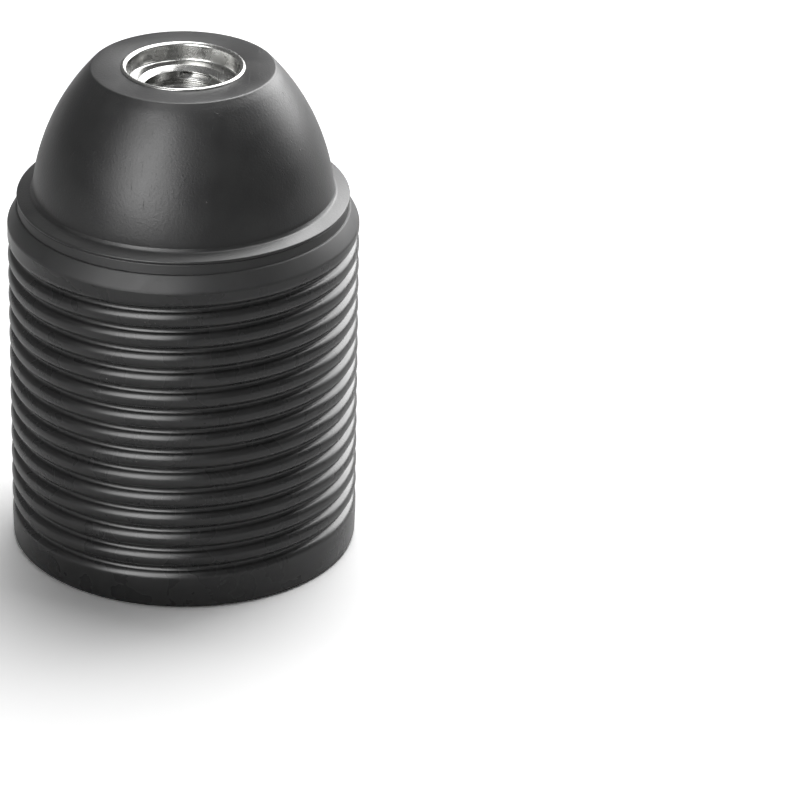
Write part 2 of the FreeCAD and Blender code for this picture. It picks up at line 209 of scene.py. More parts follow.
def noise(tree, place, **looks):
    """Smooth noise at a place; looks are its Scale, Detail, Roughness and Distortion."""
    return node(tree, "TexNoise", {"Vector": place, **looks}).outputs[0]


def effect(name, takes, gives):
    """An empty node group with its named inputs and outputs."""
    group = bpy.data.node_groups.new(name, "ShaderNodeTree")
    for label, kind in takes:
        group.interface.new_socket(label, in_out="INPUT", socket_type="NodeSocket" + kind)
    for label in gives:
        group.interface.new_socket(label, in_out="OUTPUT", socket_type="NodeSocketFloat")
    return group, group.nodes.new("NodeGroupInput").outputs, group.nodes.new("NodeGroupOutput").inputs


def mould_grain():
    """The tool's fine eroded grain and the cloudy gloss of a moulding's skin, from noise at two sizes."""
    takes = [("Place", "Vector"), ("Grains", "Float"), ("Clouds", "Float")]
    group, given, wanted = effect("mould_grain", takes, ["Height", "Cloud"])
    fine = noise(group, given["Place"], Scale=given["Grains"], Detail=2.0, Roughness=0.6)
    broad = noise(group, given["Place"], Scale=given["Clouds"], Detail=3.0, Distortion=0.4)
    group.links.new(fine, wanted["Height"])
    group.links.new(stretched(group, broad, 0.32, 0.68), wanted["Cloud"])
    return group


def hand_marks():
    """Hairline scratches from handling: noise drawn out into long threads two ways, and cut off high."""
    group, given, wanted = effect("hand_marks", [("Place", "Vector"), ("Amount", "Float")], ["Mask"])
    masks = []
    for turn, stretch in (((0.2, 0.3, 0.5), (0.35, 9.0, 0.5)), ((1.1, 0.4, -0.7), (8.0, 0.3, 0.6))):
        laid = node(group, "Mapping", {"Vector": given["Place"], "Rotation": turn, "Scale": stretch})
        hair = noise(group, laid.outputs[0], Scale=1.0, Detail=3.0, Roughness=0.7)
        masks.append(stretched(group, hair, 0.66, 0.74))
    both = node(group, "Math", {0: masks[0], 1: masks[1]}, operation="MAXIMUM")
    group.links.new(product(group, both.outputs[0], given["Amount"]), wanted["Mask"])
    return group


def dust_specks():
    """Sparse specks of dust: the middles of a few random cells of a Voronoi pattern."""
    takes = [("Place", "Vector"), ("Cells", "Float"), ("Share", "Float")]
    group, given, wanted = effect("dust_specks", takes, ["Mask"])
    cell = node(group, "TexVoronoi", {"Vector": given["Place"], "Scale": given["Cells"]})
    spot = stretched(group, cell.outputs["Distance"], 0.1, 0.05)
    pick = node(group, "SeparateColor", {"Color": cell.outputs["Color"]})
    few = node(group, "Math", {0: pick.outputs[0], 1: given["Share"]}, operation="LESS_THAN")
    group.links.new(product(group, spot, few.outputs[0]), wanted["Mask"])
    return group


grain_effect = mould_grain()
marks_effect = hand_marks()
dust_effect = dust_specks()


def material_parts(name):
    """A new material with its tree, its shader and Object coordinates in millimetres."""
    material = bpy.data.materials.new(name)
    material.use_nodes = True
    tree = material.node_tree
    where = node(tree, "TexCoord").outputs["Object"]
    place = node(tree, "VectorMath", {0: where, "Scale": 1000.0}, operation="SCALE").outputs[0]
    return material, tree, tree.nodes["Principled BSDF"], place


def placed_effect(tree, group, place, **values):
    """An effect's group in a material, at a place and with its own values."""
    return node(tree, "Group", {"Place": place, **values}, node_tree=group).outputs


def finish_skin(tree, shader, colour, rough, height, depth):
    """Links a colour, a roughness and a relief of a depth in millimetres to the shader."""
    bump = node(tree, "Bump", {"Height": height, "Distance": depth * mm, "Strength": 1.0})
    tree.links.new(colour, shader.inputs["Base Color"])
    tree.links.new(rough, shader.inputs["Roughness"])
    tree.links.new(bump.outputs[0], shader.inputs["Normal"])


def black_plastic(name, deep, worn, gloss, spread, grain, depth, dust, matt_above=100.0):
    """Black thermoplastic: cloudy satin, fine mould grain, hairline scratches and a few specks of dust.

    It is less glossy above a height, where the mould's steel was left unpolished.
    """
    dust_tone = (0.12, 0.118, 0.112, 1)
    scratch_rough, speck_rough, matt_rough = 0.14, 0.4, 0.24
    scratch_height, speck_height = -0.5, 2.0
    matt_fade = 0.3
    material, tree, shader, place = material_parts(name)
    skin = placed_effect(tree, grain_effect, place, Grains=grain, Clouds=0.22)
    marks = placed_effect(tree, marks_effect, place, Amount=1.0)
    specks = placed_effect(tree, dust_effect, place, Cells=0.9, Share=dust)
    tone = tint(tree, skin["Cloud"], (*deep, 1), (*worn, 1))
    dusty = tint(tree, specks[0], tone, dust_tone)
    up = node(tree, "SeparateXYZ", {0: place}).outputs[2]
    rough = sum_of(tree, skin["Cloud"], spread, gloss - spread / 2)
    rough = sum_of(tree, marks[0], scratch_rough, rough)
    rough = sum_of(tree, specks[0], speck_rough, rough)
    rough = sum_of(tree, stretched(tree, up, matt_above, matt_above + matt_fade), matt_rough, rough)
    height = sum_of(tree, marks[0], scratch_height, skin["Height"])
    height = sum_of(tree, specks[0], speck_height, height)
    finish_skin(tree, shader, dusty, rough, height, depth)
    shader.inputs["IOR"].default_value = 1.5
    return material


barrel_black = black_plastic(
    "barrel_black", deep=(0.025, 0.025, 0.0255), worn=(0.034, 0.034, 0.034), gloss=0.28, spread=0.08,
    grain=3.5, depth=0.006, dust=0.03, matt_above=39.4)

# Ring thread: the groove's middle stands at ring_groove_height where it ends, in the direction
# ring_groove_end, and comes up there from ring_turns turns below. It runs on past both ends and fades out.
crest_radius = 20.0
ring_pitch = 2.5
ring_section = thread_section(
    ring_pitch, mouth=1.25, root=0.45, depth=-0.7, mouth_edge=0.85, root_edge=0.38, arc_steps=6)
ring_low = 3.1
ring_high = 39.5
ring_groove_height = 37.85
ring_groove_end = -22.0
ring_turns = 13.5
ring_run_in = 20.0
ring_fade_in = 40.0
ring_fade_out = 65.0
ring_first = turn_step * round((ring_groove_end - 360 * ring_turns - ring_run_in) / turn_step)
ring_last = turn_step * round((ring_groove_end + ring_fade_out) / turn_step)
ring_first_height = ring_groove_height + ring_pitch * (ring_first - ring_groove_end) / 360
barrel_skins = thread_surface(
    crest_radius, ring_section, ring_pitch, ring_first, ring_last, ring_first_height, ring_low, ring_high,
    ring_fade_in, ring_fade_out)

# Closing thread in the barrel's bore, and then the barrel's plain parts: from the shoulder over the land
# into the bore, and from the bore over the web that seats the carrier to the sleeve. A line's points are
# (r, z, rounding).
closing_pitch = 2.0
closing_shape = {"mouth": 0.9, "root": 0.5, "mouth_edge": 0.1, "root_edge": 0.1}
closing_depth = 0.48
closing_fade = 40.0
bore_thread_start = 33.8
bore_thread_sweep = 1260.0
bore_radius = 16.75
bore_low = 33.0
bore_high = 41.6
barrel_top = 42.6
barrel_skins += thread_surface(
    bore_radius, thread_section(closing_pitch, depth=-closing_depth, **closing_shape), closing_pitch,
    0.0, bore_thread_sweep, bore_thread_start, bore_low, bore_high, closing_fade, closing_fade)
shoulder_radius = 19.0
shoulder_top = 41.4
land_radius = 18.8
barrel_skins.append(turned_surface(rounded_line([
    (crest_radius, ring_high, 0), (19.93, 39.75, 0.6), (shoulder_radius, shoulder_top, 0.25),
    (land_radius, shoulder_top, 0.04), (land_radius, barrel_top, 0.18), (bore_radius, barrel_top, 0.25),
    (bore_radius, bore_high, 0),
])))
seat_height = 27.2
seat_radius = 13.5
sleeve_top = 20.25
barrel_skins.append(turned_surface(rounded_line([
    (bore_radius, bore_low, 0), (bore_radius, seat_height, 0.2), (seat_radius, seat_height, 0.15),
    (seat_radius, sleeve_top, 0),
])))

# Sleeve: the lamp's thread inside, a rim with a shallow round groove at its end, and then the well between
# sleeve and wall, up to the web and down again to the mouth's rim and the plain band under the ring thread.
lamp_ridge = 12.25
lamp_depth = 1.1
lamp_pitch = 3.629
sleeve_low = 9.0
lead_in_sum = 22.15
relief_height = 19.0


def sleeve_radius(angle, height):
    """The lamp thread's wave is r = ridge + depth w, w = ((1 - cos(2 pi (z / pitch - a / 360))) / 2) ** 0.8.

    The sleeve is opened by the 45 degree lead-in below, where r + z is constant, and by the relief above:
    it has the largest of the three radii.
    """
    wave = (0.5 - 0.5 * np.cos(2 * math.pi * (height / lamp_pitch - angle / 360.0))) ** 0.8
    thread = lamp_ridge + lamp_depth * wave
    relief = lamp_ridge + np.maximum(height - relief_height, 0)
    return np.maximum(np.maximum(thread, lead_in_sum - height), relief)


sleeve_heights = np.linspace(sleeve_top, sleeve_low, 100)
sleeve_rows = sleeve_radius(turn_angles[None, :], sleeve_heights[:, None])
rim_groove = 9.3
sleeve_outside = 14.7
web_underside = 25.0
well_radius = 18.0
sleeve_rim = rounded_line([
    (13.4, sleeve_low, 0), (13.95, sleeve_low, 0.06), (13.95, rim_groove, 0.05), (14.3, rim_groove, 0.05),
    (14.3, sleeve_low, 0.08), (sleeve_outside, sleeve_low, 0.14), (sleeve_outside, web_underside, 0.5),
    (well_radius, web_underside, 0.5), (well_radius, 0.0, 0.2), (19.9, 0.0, 0.55), (crest_radius, 3.0, 0.03),
    (crest_radius, ring_low, 0),
])
barrel_skins.append(ring_stack(
    np.concatenate([sleeve_rows, sleeve_rim[:, None, 0] * np.ones((1, turn_steps))]),
    np.concatenate([sleeve_heights, sleeve_rim[:, 1]])[:, None]))

# Ribs: eight thin walls across the well, from the sleeve's foot to the web.
rib_count = 8
rib_first = 22.5
rib_half = 0.45
rib_low = 9.3
rib_high = 25.3
rib_middle = 17.0
rib_reach = np.array([14.4, 14.4, 17.2, 17.7, 18.0, 18.2, 18.2])
rib_drop = np.array([0.0, 0.0, 0.0, 0.12, 0.4, 0.9, 0.9])
rib_size = np.array([0.0, 1.0, 1.0, 1.0, 1.0, 1.0, 0.0])


def rib_surface(angle):
    """One rib: a rounded rectangle (across, height) carried outwards, its lower edge curving up at the wall.

    Its size is 0 at both ends, which closes it inside the walls.
    """
    outline = rounded_line([
        (0, rib_high, 0), (-rib_half, rib_high, 0.05), (-rib_half, rib_low, 0.22), (rib_half, rib_low, 0.22),
        (rib_half, rib_high, 0.05), (0, rib_high, 0)])
    across = outline[None, :, 0] * rib_size[:, None]
    lifted = outline[None, :, 1] + rib_drop[:, None]
    rise = np.where(outline[None, :, 1] < rib_middle, lifted, outline[None, :, 1])
    rise = rib_middle + (rise - rib_middle) * rib_size[:, None]
    turn = math.radians(angle)
    x = rib_reach[:, None] * math.cos(turn) - across * math.sin(turn)
    y = rib_reach[:, None] * math.sin(turn) + across * math.cos(turn)
    return np.stack([x, y, rise], -1).reshape(-1, 3), grid_quads(len(rib_reach), len(outline), False)


for k in range(rib_count):
    barrel_skins.append(rib_surface(rib_first + 360.0 / rib_count * k))
piece("barrel_moulding", welded_mesh("barrel_moulding", barrel_skins),
      barrel_black, "barrel", "threaded_barrel")

# Dome cap: one black moulding with a satin skin. Its dome stands on a sloped flange, the spigot below screws
# into the barrel, two keys inside the spigot turn the carrier, and a pocket under the roof holds the bush.
dome_black = black_plastic(
    "dome_black", deep=(0.02, 0.02, 0.0205), worn=(0.03, 0.03, 0.03), gloss=0.4, spread=0.07,
    grain=3.6, depth=0.019, dust=0.03)
dome_outer_arc = 25.4
dome_inner_arc = 23.5
dome_arc_height = 40.95
dome_arc_inset = 8.13
flange_radius = 18.9
spigot_radius = 16.1
spigot_bore = 14.5
spigot_low = 30.3
thread_low = 34.0
thread_high = 41.7
spigot_thread_start = 34.8
spigot_thread_sweep = 1080.0
roof_hole = 6.95
roof_top = 58.3
roof_underside = 56.5
pocket_across = 17.1


def dome_line(radius, low, high, steps=24):
    """Points on the dome's arc from one height to another: r = sqrt(R^2 - (z - z0)^2) - inset."""
    z = np.linspace(low, high, steps)
    return np.stack([np.sqrt(radius ** 2 - (z - dome_arc_height) ** 2) - dome_arc_inset, z], -1)


def hexagon_radius(across_flats, angle):
    """A hexagon's radius, with a corner at 0 degrees: r = half width / cos(angle from the flat's middle)."""
    return across_flats / 2 / np.cos(np.radians((angle % 60.0) - 30.0))


cap_skins = [turned_surface(np.concatenate([
    rounded_line([
        (spigot_radius, thread_high, 0), (spigot_radius, barrel_top, 0.08),
        (flange_radius, barrel_top, 0.15), (flange_radius, 42.95, 0.16),
        (17.35, 43.35, 0.4), (17.1, 43.72, 0.1), (17.09, 43.9, 0)]),
    dome_line(dome_outer_arc, 44.0, 57.75),
    rounded_line([
        (10.86, 57.8, 0), (10.42, roof_top, 0.3), (9.6, roof_top, 0), (roof_hole, roof_top, 0.08),
        (roof_hole, roof_underside, 0)]),
]))]
pocket = hexagon_radius(pocket_across, turn_angles)
dome_inside = np.concatenate([
    dome_line(dome_inner_arc, 55.45, 47.29),
    rounded_line([
        (spigot_bore, 47.0, 0), (spigot_bore, spigot_low, 0.15), (spigot_radius, spigot_low, 0.3),
        (spigot_radius, thread_low, 0)])])
cap_skins.append(ring_stack(
    np.concatenate([
        np.stack([np.full(turn_steps, roof_hole), pocket, pocket]),
        dome_inside[:, None, 0] * np.ones((1, turn_steps))]),
    np.concatenate([[roof_underside, roof_underside, 55.5], dome_inside[:, 1]])[:, None]))
cap_skins += thread_surface(
    spigot_radius, thread_section(closing_pitch, depth=closing_depth, **closing_shape), closing_pitch,
    0.0, spigot_thread_sweep, spigot_thread_start, thread_low, thread_high, closing_fade, closing_fade)
key_half = 1.2
key_inside = 13.4
key_outside = 14.8
key_middle = 14.1


def key_surface(side):
    """One key: a rounded rectangle (x, y) carried up the spigot's bore, its size 0 at both ends."""
    outline = rounded_line([
        (0, key_inside, 0), (key_half, key_inside, 0.15), (key_half, key_outside, 0.05),
        (-key_half, key_outside, 0.05), (-key_half, key_inside, 0.15), (0, key_inside, 0)])
    heights = np.array([30.35, 30.35, 42.3, 42.6, 42.6])
    size = np.array([0.0, 1.0, 1.0, 0.9, 0.0])
    x = outline[None, :, 0] * size[:, None]
    y = key_middle + (outline[None, :, 1] - key_middle) * size[:, None]
    points = np.stack([x * side, y * side, heights[:, None] * np.ones_like(x)], -1)
    return points.reshape(-1, 3), grid_quads(len(heights), len(outline), False)


cap_skins += [key_surface(1), key_surface(-1)]
piece("dome_moulding", welded_mesh("dome_moulding", cap_skins),
      dome_black, "cap", "dome_cap")

# Entry bush: turned from hexagon bar and bright plated. A rolled rim holds it on the dome's flat, its
# hexagon sits in the pocket under the roof, and its bore has the fine M10 x 1 thread that takes a tube or
# cord grip.


def turned_marks():
    """The lathe's tool marks: noise read along the radius and height, so that it runs round the axis."""
    takes = [("Place", "Vector"), ("Axis", "Vector"), ("Lines", "Float")]
    group, given, wanted = effect("turned_marks", takes, ["Height", "Streak"])
    away = node(group, "VectorMath", {0: given["Place"], 1: given["Axis"]}, operation="SUBTRACT").outputs[0]
    parts = node(group, "SeparateXYZ", {0: away}).outputs
    flat = node(group, "CombineXYZ", {0: parts[0], 1: parts[1]}).outputs[0]
    radius = node(group, "VectorMath", {0: flat}, operation="LENGTH").outputs["Value"]
    facing = node(group, "VectorMath", {0: flat}, operation="NORMALIZE").outputs[0]
    way = node(group, "SeparateXYZ", {0: facing}).outputs
    line = node(group, "CombineXYZ", {
        0: sum_of(group, way[0], 0.6, 0.0),
        1: sum_of(group, way[1], 0.6, 0.0),
        2: product(group, parts[2], given["Lines"])}).outputs[0]
    looks = {"Vector": line, "W": product(group, radius, given["Lines"]), "Scale": 1.0, "Detail": 3.0,
             "Roughness": 0.6}
    cut = node(group, "TexNoise", looks, noise_dimensions="4D")
    stain = noise(group, away, Scale=0.45, Detail=4.0, Distortion=0.6)
    group.links.new(cut.outputs[0], wanted["Height"])
    group.links.new(stretched(group, stain, 0.35, 0.7), wanted["Streak"])
    return group


turned_effect = turned_marks()


def turned_metal(name, bright, dull, gloss, spread, lines, depth, axis=(0.0, 0.0, 0.0)):
    """Plated metal off the lathe: fine rings, a cloudy film on the plating and hairline marks."""
    scratch_rough, scratch_height = 0.12, -0.4
    material, tree, shader, place = material_parts(name)
    rings = placed_effect(tree, turned_effect, place, Axis=axis, Lines=lines)
    marks = placed_effect(tree, marks_effect, place, Amount=0.8)
    tone = tint(tree, rings["Streak"], (*bright, 1), (*dull, 1))
    rough = sum_of(tree, rings["Streak"], spread, gloss)
    rough = sum_of(tree, marks[0], scratch_rough, rough)
    height = sum_of(tree, marks[0], scratch_height, rings["Height"])
    finish_skin(tree, shader, tone, rough, height, depth)
    shader.inputs["Metallic"].default_value = 1.0
    return material


bush_plating = turned_metal(
    "bush_plating", bright=(0.53, 0.53, 0.52), dull=(0.35, 0.35, 0.34), gloss=0.18, spread=0.14,
    lines=9.0, depth=0.005)
bush_bore = 4.46
bush_low = 46.5
bore_thread_low = 46.7
bore_thread_high = 55.9
bush_well = 6.35
bush_neck = 7.4
under_roof = 6.9
entry_pitch = 1.0
entry_start = 47.16
entry_sweep = 2977.5
entry_fade = 20.0
entry_section = thread_section(
    entry_pitch, mouth=0.88, root=0.12, depth=0.54, mouth_edge=0.04, root_edge=0.06)
bush_skins = thread_surface(
    bush_bore, entry_section, entry_pitch, 0.0, entry_sweep, entry_start, bore_thread_low, bore_thread_high,
    entry_fade, entry_fade)
bush_skins.append(turned_surface(rounded_line([
    (bush_bore, bore_thread_high, 0), (5.06, 56.4, 0.06), (bush_well, 56.4, 0.25),
    (bush_well, roof_top, 0.2), (6.75, 58.55, 0.16), (7.15, roof_top, 0.06),
    (under_roof, 58.28, 0.02), (under_roof, roof_underside, 0)])))

# The bush's hexagon, with its corners turned off above and below, and the neck under it.
bush_across = 17.0
bush_foot = 53.5
hexagon = hexagon_radius(bush_across, turn_angles)
corner_start = np.minimum(hexagon, 8.6)
corner_end = np.minimum(hexagon, 9.0)
bush_skins.append(ring_stack(
    np.stack([
        np.full(turn_steps, under_roof), corner_start, corner_end, hexagon,
        hexagon, corner_end, corner_start, np.full(turn_steps, bush_neck)]),
    np.array([roof_underside, roof_underside, 56.32, 55.9, 54.1, 53.68, bush_foot, bush_foot])[:, None]))
bush_skins.append(turned_surface(rounded_line([
    (bush_neck, bush_foot, 0), (bush_neck, bush_low, 0.3), (4.9, bush_low, 0.1),
    (bush_bore, bore_thread_low, 0)])))
bush_mesh = welded_mesh("bush_blank", bush_skins)

# The neck is drilled across for the set screw, with a small countersink.
set_screw_height = 49.9
drill_start = 3.0
drill_length = 6.0
drill_radius = 1.5
countersink_radius = 1.95
drill_points, drill_faces = turned_surface(rounded_line([
    (0, 0, 0), (drill_radius, 0, 0), (drill_radius, 4.0, 0), (countersink_radius, 4.45, 0),
    (countersink_radius, drill_length, 0), (0, drill_length, 0)]), 40)
drill_points = np.stack([
    drill_points[:, 0], -drill_start - drill_points[:, 2], set_screw_height + drill_points[:, 1]], -1)
drill = bpy.data.objects.new("drill", welded_mesh("drill", [(drill_points, drill_faces)]))
blank = bpy.data.objects.new("blank", bush_mesh)
for made in (drill, blank):
    bpy.context.scene.collection.objects.link(made)
crossing = blank.modifiers.new("crossing", "BOOLEAN")
crossing.operation = "DIFFERENCE"
crossing.object = drill
bpy.context.view_layer.update()
drilled = bpy.data.meshes.new_from_object(blank.evaluated_get(bpy.context.evaluated_depsgraph_get()))
bpy.data.objects.remove(blank)
bpy.data.objects.remove(drill)
drilled.name = "bush_drilled"
piece("bush_body", drilled, bush_plating, "cap", "entry_bush")

# Bush set screw: a small headless steel screw with a cone point and a sawn slot, zinc plated.
screw_zinc = turned_metal(
    "screw_zinc", bright=(0.66, 0.66, 0.65), dull=(0.5, 0.5, 0.49), gloss=0.3, spread=0.14,
    lines=12.0, depth=0.003)
screw_steps = 48


def slotted_end(radius, low, high, slot_width, slot_depth, edge):
    """A round end with a straight slot: closed outlines (x, z) carried along y.

    At each y the outline's half width is sqrt((R - inset(z))^2 - y^2), where inset(z) rounds the top edge,
    and its top is lower inside the slot and on the rounded rim.
    """
    half = slot_width / 2
    crown = high - edge
    floor = high - slot_depth
    outer = radius * np.sin(np.linspace(math.asin(half / radius), math.pi / 2, 13))
    y = np.concatenate([-outer[::-1], [-half], [half], outer])
    slot = np.concatenate([np.full(len(outer), high), [floor] * 2, np.full(len(outer), high)])
    rim = np.clip(np.abs(y) - (radius - edge), 0, edge)
    top = np.minimum(slot, crown + np.sqrt(edge ** 2 - rim ** 2))
    arc = np.linspace(0, math.pi / 2, 5)
    waist = (low + high - slot_depth) / 2
    lift = np.concatenate([[low, low, waist, floor], crown + edge * np.sin(arc), [high]])
    full = np.concatenate([[0.0], np.ones(len(lift) - 2), [0.0]])
    lift = np.concatenate([lift, lift[-2::-1]])
    full = np.concatenate([-full, full[-2::-1]])
    z = np.minimum(lift[None, :], top[:, None])
    inset = edge - np.sqrt(np.maximum(edge ** 2 - np.maximum(z - crown, 0) ** 2, 0))
    x = full[None, :] * np.sqrt(np.maximum((radius - inset) ** 2 - y[:, None] ** 2, 0))
    points = np.stack([x, y[:, None] * np.ones_like(x), z], -1)
    return points.reshape(-1, 3), grid_quads(len(y), len(lift), False)


def screw_shank(radius, pitch, low, high, line_below, line_above):
    """A threaded shank: the thread's skin with a turned end below and above."""
    step = 360.0 / screw_steps
    last = step * round((high - low - 0.94 * pitch) / pitch * screw_steps)
    section = thread_section(
        pitch, mouth=pitch * 0.86, root=pitch * 0.14, depth=-pitch * 0.6, mouth_edge=pitch * 0.02,
        root_edge=pitch * 0.08)
    skins = thread_surface(
        radius, section, pitch, 0.0, last, low + pitch * 0.47, low, high, 40.0, 40.0, screw_steps)
    ends = [turned_surface(rounded_line(line), screw_steps) for line in (line_below, line_above)]
    return skins + ends


set_screw_radius = 1.45
set_screw_tip = 4.96
set_screw_skins = screw_shank(
    set_screw_radius, 0.5, 0.6, 2.7,
    [(0, 0, 0), (0.9, 0, 0.1), (set_screw_radius, 0.5, 0.1), (set_screw_radius, 0.6, 0)],
    [(set_screw_radius, 2.7, 0), (set_screw_radius, 2.85, 0), (0, 2.85, 0)])
set_screw_skins.append(slotted_end(1.43, 2.6, 4.0, slot_width=0.5, slot_depth=0.8, edge=0.15))
set_screw_skins = [
    (np.stack([p[:, 0], -set_screw_tip - p[:, 2], set_screw_height + p[:, 1]], -1), faces)
    for p, faces in set_screw_skins]
piece("set_screw_body", welded_mesh("set_screw_body", set_screw_skins),
      screw_zinc, "set_screw", "bush_set_screw")

# Contact carrier: the insert that holds both poles, moulded in black with a fine matt finish. Its solid has
# the real shape, so the piece is that shape with every edge eased, as the mould leaves it.
carrier_black = black_plastic(
    "carrier_black", deep=(0.016, 0.016, 0.0165), worn=(0.027, 0.027, 0.027), gloss=0.5, spread=0.1,
    grain=4.0, depth=0.008, dust=0.07)


def eased_copy(name, ease):
    """A CAD node's shape, merged, with its flat faces made whole and its edges eased by a small bevel."""
    work = bmesh.new()
    work.from_mesh(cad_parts[name].data)
    bmesh.ops.remove_doubles(work, verts=work.verts, dist=1e-6)
    bmesh.ops.dissolve_limit(work, angle_limit=math.radians(0.5), verts=work.verts, edges=work.edges)
    mesh = bpy.data.meshes.new(name + "_blank")
    work.to_mesh(mesh)
    work.free()
    blank = bpy.data.objects.new(name + "_blank", mesh)
    bpy.context.scene.collection.objects.link(blank)
    bevel = blank.modifiers.new("ease", "BEVEL")
    bevel.width = ease * mm
    bevel.segments = 2
    bevel.limit_method = "ANGLE"
    bevel.angle_limit = math.radians(40.0)
    bevel.use_clamp_overlap = False
    bpy.context.view_layer.update()
    eased = bpy.data.meshes.new_from_object(blank.evaluated_get(bpy.context.evaluated_depsgraph_get()))
    bpy.data.objects.remove(blank)
    return eased


eased_sharp = 24.0
piece("carrier_moulding", eased_copy("contact_carrier", 0.1),
      carrier_black, "carrier", "contact_carrier", eased_sharp)

# Contact springs: nickel-plated bronze strip, cut and bent. The wide one carries the centre pole to the
# lamp's tip, the narrow one stands beside its shell, and each is held at its end in the lug of its terminal.


def rolled_lines():
    """The mill's lines in rolled strip: noise drawn out along one direction, and a cloudy film over it."""
    takes = [("Place", "Vector"), ("Stretch", "Vector")]
    group, given, wanted = effect("rolled_lines", takes, ["Height", "Film"])
    drawn = node(group, "VectorMath", {0: given["Place"], 1: given["Stretch"]}, operation="MULTIPLY")
    line = noise(group, drawn.outputs[0], Scale=1.0, Detail=4.0, Roughness=0.65)
    film = noise(group, given["Place"], Scale=0.5, Detail=4.0, Distortion=0.8)
    group.links.new(line, wanted["Height"])
    group.links.new(stretched(group, film, 0.38, 0.68), wanted["Film"])
    return group


rolled_effect = rolled_lines()


def strip_metal(name, clean, tarnished, gloss, spread, stretch, depth=0.004):
    """Strip metal: lines from rolling, tarnish in soft patches, and hairline marks."""
    scratch_rough, scratch_height = 0.15, -0.5
    material, tree, shader, place = material_parts(name)
    lines = placed_effect(tree, rolled_effect, place, Stretch=stretch)
    marks = placed_effect(tree, marks_effect, place, Amount=1.0)
    tone = tint(tree, lines["Film"], (*clean, 1), (*tarnished, 1))
    rough = sum_of(tree, lines["Film"], spread, gloss)
    rough = sum_of(tree, marks[0], scratch_rough, rough)
    height = sum_of(tree, marks[0], scratch_height, lines["Height"])
    finish_skin(tree, shader, tone, rough, height, depth)
    shader.inputs["Metallic"].default_value = 1.0
    return material


contact_nickel = strip_metal(
    "contact_nickel", clean=(0.82, 0.81, 0.77), tarnished=(0.62, 0.6, 0.54), gloss=0.24, spread=0.14,
    stretch=(0.2, 11.0, 0.2))
strip_thickness = 0.45
strip_root_x = 11.325
strip_root_z = 31.02


def strip_surface(path, width, tip_corner, side):
    """A bent strip: a rounded rectangle carried along a line in the (x, z) plane.

    point = line(s) + n t(s) u + y w(s) v, where (u, v) runs round the rectangle. w and t shrink on a quarter
    circle towards the tip, so that its corners are round, and the rectangle closes at both ends.
    """
    line = rounded_line(path, 8)
    runs = np.diff(line, axis=0)
    length = np.concatenate([[0], np.cumsum(np.hypot(runs[:, 0], runs[:, 1]))])
    back = tip_corner * (1 - np.sin(np.linspace(0, math.pi / 2, 7)))
    stations = np.unique(np.concatenate([[0.0, 0.12], length[1:-1], length[-1] - back]))
    x = np.interp(stations, length, line[:, 0])
    z = np.interp(stations, length, line[:, 1])
    tangent = np.stack([np.gradient(x), np.gradient(z)], -1)
    tangent /= np.linalg.norm(tangent, axis=1)[:, None]
    left = np.clip(length[-1] - stations, 0, tip_corner)
    plan = width / 2 - (tip_corner - np.sqrt(np.maximum(tip_corner ** 2 - (tip_corner - left) ** 2, 0)))
    gauge = np.ones(len(stations))
    gauge[0] = 0.7
    gauge[-1] = 0.55
    round_edge = 0.35 * strip_thickness
    corner = np.linspace(0, math.pi / 2, 4)
    sine, cosine = np.sin(corner), np.cos(corner)
    du = np.concatenate([sine, cosine, -sine, -cosine]) * round_edge
    dv = np.concatenate([-cosine, sine, cosine, -sine]) * round_edge
    su = np.repeat([1, 1, -1, -1], 4)
    sv = np.repeat([-1, 1, 1, -1], 4)
    across = su[None, :] * (plan[:, None] - round_edge) + du[None, :]
    through = (sv[None, :] * (strip_thickness / 2 - round_edge) + dv[None, :]) * gauge[:, None]
    across = np.concatenate([across[:1] * 0, across, across[-1:] * 0])
    through = np.concatenate([through[:1] * 0, through, through[-1:] * 0])
    place = np.concatenate([[0], np.arange(len(stations)), [len(stations) - 1]])
    out_x = x[place][:, None] - tangent[place][:, 1:2] * through
    out_z = z[place][:, None] + tangent[place][:, 0:1] * through
    points = np.stack([out_x * side, across, out_z], -1)
    return points.reshape(-1, 3), grid_quads(len(points), len(su), True)


centre_path = [
    (strip_root_x, strip_root_z, 0), (strip_root_x, 24.4, 0.6), (5.0, 22.8, 0.6), (0.0, 21.9, 0.6),
    (-2.4, 21.9, 0.6), (-3.95, 22.56, 0)]
shell_path = [
    (strip_root_x, strip_root_z, 0), (strip_root_x, 25.0, 0.6), (10.1, 21.4, 0.6), (10.83, 19.6, 0)]
piece("centre_strip", welded_mesh("centre_strip", [strip_surface(centre_path, 5.0, 0.9, -1)]),
      contact_nickel, "centre_spring", "centre_contact")
piece("shell_strip", welded_mesh("shell_strip", [strip_surface(shell_path, 3.6, 0.8, 1)]),
      contact_nickel, "shell_spring", "shell_contact")

# Terminals: a pressed brass plate for each pole, tapped for its clamp screw, riveted to the carrier, with a
# slotted lug for the contact's end. Their solids have the real shape, and the press leaves the edges eased.
terminal_brass = strip_metal(
    "terminal_brass", clean=(0.78, 0.58, 0.27), tarnished=(0.52, 0.37, 0.17), gloss=0.28, spread=0.2,
    stretch=(9.0, 0.25, 0.25))
pole_x = {"centre": -6.4, "shell": 6.4}
for pole in pole_x:
    plate = "terminal_plate_" + pole
    piece("terminal_" + pole, eased_copy(plate, 0.08),
          terminal_brass, "carrier", plate, eased_sharp)

